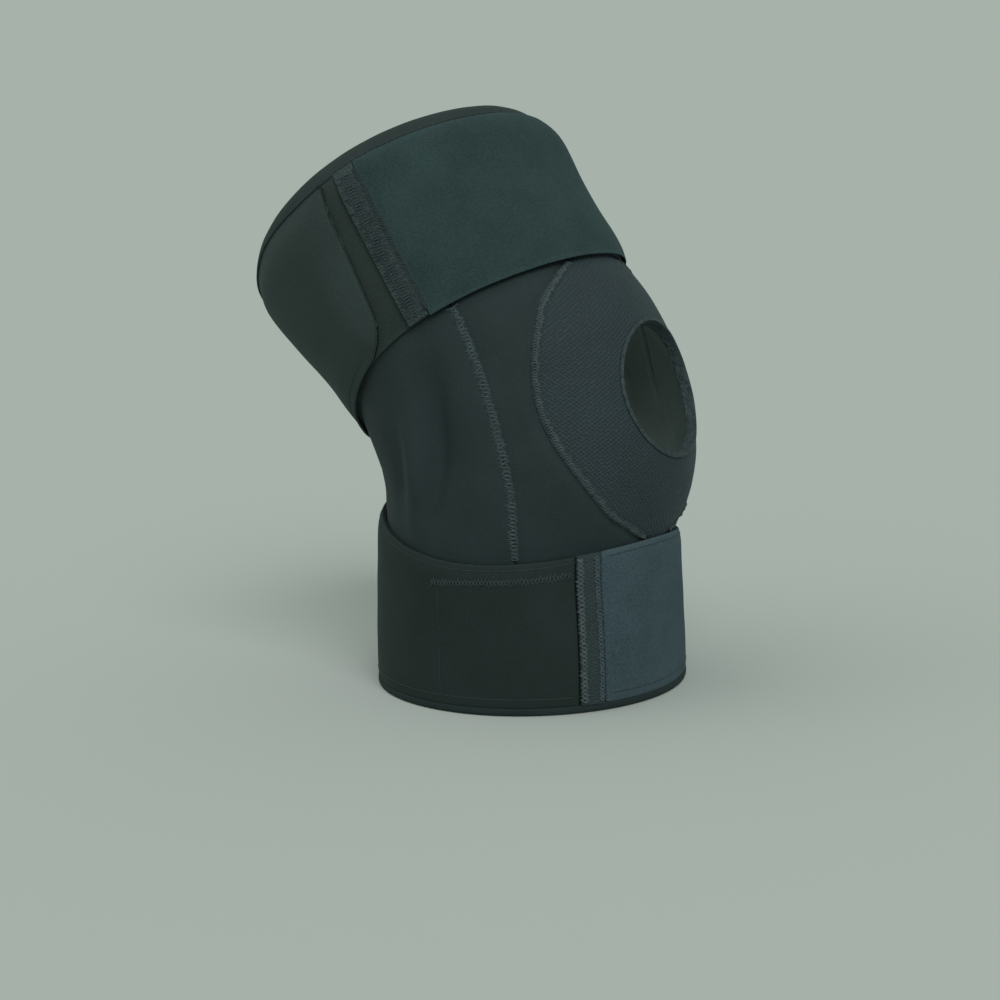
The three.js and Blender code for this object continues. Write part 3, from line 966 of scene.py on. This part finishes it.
stitching = {
    "flatlock": {
        "width": 0.0036, "stitch": 0.0028, "lift": 0.00034, "radius": 0.00036, "jitter": 0.45,
        "loose": 1.5, "looseLength": 0.0045, "look": "thread", "wide": 0.9,
    },
    "rope": {
        "width": 0.0023, "stitch": 0.0019, "lift": 0.00048, "radius": 0.00042, "jitter": 0.4,
        "loose": 1.2, "looseLength": 0.004, "look": "thread",
    },
    "tapeRope": {
        "width": 0.0020, "stitch": 0.0030, "lift": 0.0005, "radius": 0.00056, "jitter": 0.35,
        "loose": 0.8, "looseLength": 0.006, "look": "lightThread",
    },
    "tapeFine": {
        "width": 0.0018, "stitch": 0.0027, "lift": 0.0004, "radius": 0.00042, "jitter": 0.4,
        "loose": 1.2, "looseLength": 0.005, "look": "blueThread",
    },
    "overlock": {
        "width": 0.0056, "stitch": 0.0022, "lift": 0.00016, "radius": 0.00028, "jitter": 0.45,
        "loose": 1.5, "looseLength": 0.003, "look": "midThread",
    },
    "joint": {
        "width": 0.0016, "stitch": 0.0018, "lift": 0.0002, "radius": 0.00032, "jitter": 0.4,
        "loose": 1.2, "looseLength": 0.004, "look": "darkThread", "wide": 0.9,
    },
    "hemZigzag": {
        "width": 0.0024, "stitch": 0.0026, "lift": 0.00022, "radius": 0.00028, "jitter": 0.45,
        "loose": 1.6, "looseLength": 0.004, "look": "hemThread",
    },
    "hem": {"stitch": 0.0034, "lift": 0.00008, "radius": 0.00016, "look": "darkThread"},
}


def sewZigzag(name, path, style, band=0, bandLook="tape"):
    settings = stitching[style]
    wide = settings.get("wide", 0.4)
    if band:
        samples = followCloth(path, bands["step"], wide)
        addBand(name + "Band", samples, band, bands["height"], bandLook)
    samples = followCloth(path, settings["stitch"] / 4, wide)
    strands = [zigzag(samples, settings, phase) for phase in (1, -1)]
    addThreads(name, strands, settings["radius"], settings["look"])


def sewRow(name, path):
    settings = stitching["hem"]
    samples = followCloth(path, settings["stitch"] / 4)
    addThreads(name, [straightRow(samples, settings["lift"])], settings["radius"], settings["look"])


def spread(start, end, count):
    return [start + (end - start) * index / (count - 1) for index in range(count)]


joints = {  # rows and bands on the sleeve's joints; lengths in metres, turns in degrees
    "sideTurn": 62, "overCalfWrap": 0.0004, "underThighWrap": 0.0010,
    "sideBand": 0.0044, "patchBand": 0.0034, "patchInset": 1.3, "patchInsetAlong": 0.0010,
    "inner": (0.0050, 0.0002), "innerStep": 0.0015, "innerWide": 0.9,
    "innerFrom": 0.005, "innerUnderRim": 0.0055, "innerOutset": 0.1,
}


# Flat band over a joint on the lining, in the lining cloth that is painted lighter as light inside the
# sleeve
def addInnerBand(name, path):
    samples = followCloth(path, joints["innerStep"], joints["innerWide"], True)
    addBand(name + "Inside", samples, *joints["inner"], "liningCloth")


def sewSides():
    for name, side in (("sideSeamRight", 1), ("sideSeamLeft", -1)):
        edgeTurn = side * joints["sideTurn"]
        low = calfTopAt(edgeTurn) + joints["overCalfWrap"]
        top = thighLowAt(edgeTurn) - joints["underThighWrap"]
        path = [(side * sideSeamAt(along), along) for along in spread(low, top, 160)]
        sewZigzag(name, path, "flatlock", joints["sideBand"], "seamBand")
        low, top = joints["innerFrom"], rimAt(edgeTurn) - joints["innerUnderRim"]
        addInnerBand(name, [(side * sideSeamAt(along), along) for along in spread(low, top, 220)])


def sewPatch():
    middle = kneeMiddle + patch["rise"]
    for name, side in (("patchSeamRight", 1), ("patchSeamLeft", -1)):
        path, inner = [], []
        for clock in spread(180, 0, 400):
            sine, cosine = math.sin(math.radians(clock)), math.cos(math.radians(clock))
            turn = side * (patch["halfTurn"] - joints["patchInset"]) * sine * sine
            along = middle + (patch["halfAlong"] - joints["patchInsetAlong"]) * cosine
            innerTurn = side * (patch["halfTurn"] + joints["innerOutset"]) * sine * sine
            inner.append((innerTurn, middle + patch["halfAlong"] * cosine))
            low = calfTopAt(turn) + joints["overCalfWrap"]
            if low < along < thighLowAt(turn) - joints["underThighWrap"]:
                path.append((turn, along))
        sewZigzag(name, path, "rope", joints["patchBand"], "seamBand")
        addInnerBand(name, inner[6:-6])  # its two ends meet above and below the patch


calfRows = {  # turns in degrees, lengths in metres
    "tape": [("tapeRowRight", 32.4, "tapeFine"), ("tapeRowLeft", 38.8, "tapeRope")],
    "foot": 0.0036, "underEdge": 0.0008, "tapeBand": 0.0022,
    "hem": (41, 94), "hemBelow": 0.0063, "hemDroop": 0.0018, "droopFrom": 77, "droopOver": 14,
    "hemEnd": (90.6, 0.047, 0.006),
    "round": (-99, 260), "topBelow": 0.0022, "footAbove": 0.0062,
    "hiddenTurn": -100, "hiddenBand": 0.0030,
}


# Places up the calf wrap, from the foot to its upper edge
def calfLine(turn):
    top = calfTopAt(turn) - calfRows["underEdge"]
    return [(turn, along) for along in spread(calfRows["foot"], top, 90)]


def sewCalf():
    values = calfRows
    for name, turn, style in values["tape"]:
        sewZigzag(name, calfLine(turn), style, values["tapeBand"])
    hem = []
    for turn in spread(*values["hem"], 96):
        droop = values["hemDroop"] * max(0, turn - values["droopFrom"]) / values["droopOver"]
        hem.append((turn, calfTopAt(turn) - values["hemBelow"] - droop))
    sewZigzag("calfHemRow", hem, "hemZigzag")
    endTurn, top, low = values["hemEnd"]
    sewRow("calfHemEnd", [(endTurn, along) for along in spread(top, low, 60)])
    turns = spread(*values["round"], 420)
    sewRow("calfTopRow", [(turn, calfTopAt(turn) - values["topBelow"]) for turn in turns])
    sewRow("calfFootRow", [(turn, values["footAbove"]) for turn in turns])
    sewZigzag("calfHiddenRow", calfLine(values["hiddenTurn"]), "tapeFine", values["hiddenBand"])


thighRows = {  # turns in degrees, lengths in metres, ends as shares of the wrap's height
    "rim": (-98, 80), "rimBelow": 0.0050,
    "border": [("borderRow", 3.9, "overlock"), ("borderJoint", 0.2, "joint")],
    "borderEnds": (0.02, 0.98),
    "hiddenTurn": -100, "hiddenBand": 0.0030, "hiddenEnds": (0.03, 0.97),
    "flapLow": (98, 258), "flapAbove": 0.0030,
}


# Places up the thigh wrap, on a line whose turn follows its share of the height
def thighLine(turnFrom, low, high):
    path = []
    for share in spread(low, high, 90):
        turn = turnFrom(share)
        path.append((turn, thighLowAt(turn) + (thighTopAt(turn) - thighLowAt(turn)) * share))
    return path


def sewThigh():
    values = thighRows
    turns = spread(*values["rim"], 300)
    sewRow("topEdgingRow", [(turn, rimAt(turn) - values["rimBelow"]) for turn in turns])
    for name, beside, style in values["border"]:
        path = thighLine(lambda share: thighTurnAt("loop", share) + beside, *values["borderEnds"])
        sewZigzag(name, path, style)
    hidden = thighLine(lambda share: values["hiddenTurn"], *values["hiddenEnds"])
    sewZigzag("thighHiddenRow", hidden, "tapeFine", values["hiddenBand"])
    turns = spread(*values["flapLow"], 300)
    sewRow("flapLowRow", [(turn, thighLowAt(turn) + values["flapAbove"]) for turn in turns])


sewSides()
sewPatch()
sewCalf()
sewThigh()
print("stitches sewn")

# Studio: the floor takes the tone of the world behind it, so that no horizon shows
studio = {
    "backdrop": (0.385, 0.445, 0.405),
    "floor": (0.4365, 0.4726, 0.4495),
    "suns": [  # direction that the light comes from, energy, softness in degrees
        {"name": "keyLight", "from": (-0.62, -0.70, 0.72), "energy": 1.9, "angle": 40},
        {"name": "fillLight", "from": (-0.3, 0.6, 0.9), "energy": 0.5, "angle": 60},
    ],
}


def addStudio(values):
    bpy.ops.object.select_all(action="DESELECT")
    bpy.ops.mesh.primitive_plane_add(size=60)
    floor = bpy.context.object
    floor.name = "floor"
    material = bpy.data.materials.new("floorPaper")
    material.use_nodes = True
    shader = material.node_tree.nodes["Principled BSDF"]
    shader.inputs["Base Color"].default_value = (*values["floor"], 1)
    shader.inputs["Roughness"].default_value = 1
    shader.inputs["Specular IOR Level"].default_value = 0
    floor.data.materials.append(material)
    world = bpy.data.worlds.new("world")
    world.use_nodes = True
    world.node_tree.nodes["Background"].inputs["Color"].default_value = (*values["backdrop"], 1)
    scene.world = world
    for light in values["suns"]:
        data = bpy.data.lights.new(light["name"], "SUN")
        data.energy = light["energy"]
        data.angle = math.radians(light["angle"])
        lamp = bpy.data.objects.new(light["name"], data)
        scene.collection.objects.link(lamp)
        lamp.rotation_mode = "QUATERNION"
        lamp.rotation_quaternion = (-Vector(light["from"])).to_track_quat("-Z", "Y")
    scene.view_settings.view_transform = "Standard"


addStudio(studio)
print("studio set")
